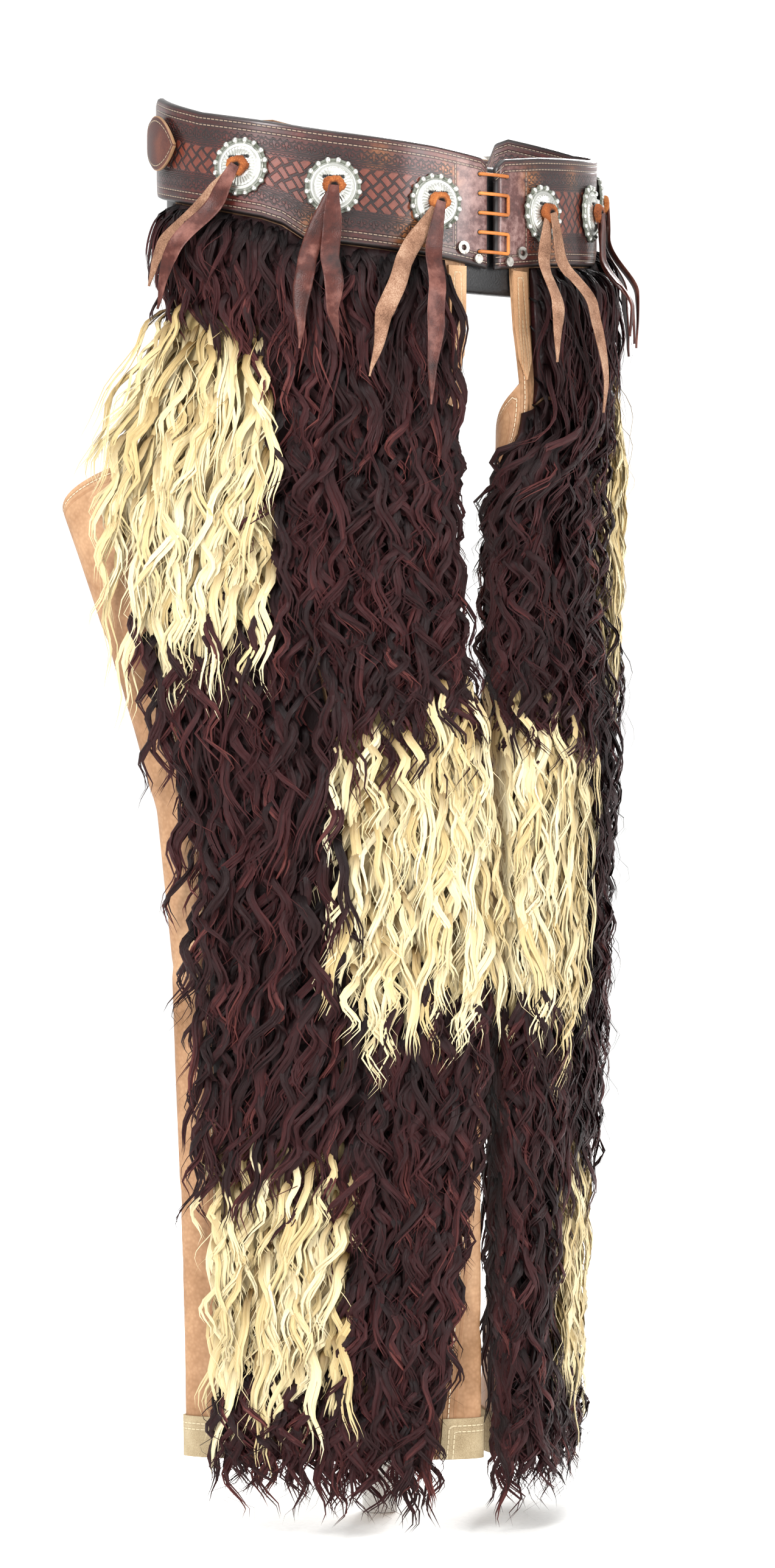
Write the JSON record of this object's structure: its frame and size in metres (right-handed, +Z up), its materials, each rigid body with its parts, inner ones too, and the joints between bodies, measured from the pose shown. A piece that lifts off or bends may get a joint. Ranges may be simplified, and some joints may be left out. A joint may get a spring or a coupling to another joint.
{
  "type": "woolly leather chaps on a hip form",
  "caption": "Hair-covered leather riding chaps with a tooled belt, silver conchos and leather strings, worn on a plain limbless hip form with a pole and a round base.",
  "frame": {"origin": "point of the base's flat underside that lies below the pole's axis, midway between the legs", "axes": "+Z up; -Y towards the garment's front, where the belt laces; -X towards the garment's right leg"},
  "size_m": [0.4603, 0.35, 1.0141],
  "materials": {
    "belt_leather": "tooled, polished dark red-brown leather, near black at its edges",
    "string_leather": "soft brown string leather, suede on its back",
    "lace_leather": "orange-tan lace",
    "concho_silver": "stamped silver with grey tarnish in its hollows",
    "chap_leather": "pale tan pebbled chap leather",
    "cuff_leather": "grey-tan suede",
    "dark_fleece": "long curly maroon-black hair",
    "cream_fleece": "long wavy cream hair",
    "form_black": "smooth black",
    "stand_white": "satin white paint",
    "buckle_metal": "worn nickel-plated steel"
  },
  "bodies": {
    "root": {"belt_right": "belt_leather", "belt_left": "belt_leather", "back_strap": "belt_leather", "strap_tab": "belt_leather", "buckle_frame": "buckle_metal", "buckle_tongue": "buckle_metal", "belt_eyelet_right": "buckle_metal", "belt_eyelet_left": "buckle_metal", "belt_rivet_right": "buckle_metal", "belt_rivet_left": "buckle_metal", "front_lace": "lace_leather", "concho_right_1": "concho_silver", "concho_right_2": "concho_silver", "concho_right_3": "concho_silver", "concho_left_1": "concho_silver", "concho_left_2": "concho_silver", "concho_left_3": "concho_silver", "string_right_1": "string_leather", "string_right_2": "string_leather", "string_right_3": "string_leather", "string_left_1": "string_leather", "string_left_2": "string_leather", "string_left_3": "string_leather", "leg_front_right": "chap_leather", "leg_front_left": "chap_leather", "leg_back_right": "chap_leather", "leg_back_left": "chap_leather", "edge_strip_right": "chap_leather", "edge_strip_left": "chap_leather", "cuff_right": "cuff_leather", "cuff_left": "cuff_leather", "fleece_hip_right": "dark_fleece", "fleece_hip_left": "dark_fleece", "fleece_thigh_inner_right": "dark_fleece", "fleece_thigh_inner_left": "dark_fleece", "fleece_thigh_outer_right": "cream_fleece", "fleece_thigh_outer_left": "cream_fleece", "fleece_knee_inner_right": "cream_fleece", "fleece_knee_inner_left": "cream_fleece", "fleece_knee_outer_right": "dark_fleece", "fleece_knee_outer_left": "dark_fleece", "fleece_calf_inner_right": "dark_fleece", "fleece_calf_inner_left": "dark_fleece", "fleece_shin_inner_right": "dark_fleece", "fleece_shin_inner_left": "dark_fleece", "fleece_shin_outer_right": "cream_fleece", "fleece_shin_outer_left": "cream_fleece", "hem_locks_right": "dark_fleece", "hem_locks_left": "dark_fleece", "hip_form": "form_black", "stand_pole": "stand_white", "stand_base": "stand_white"}
  },
  "joints": []
}
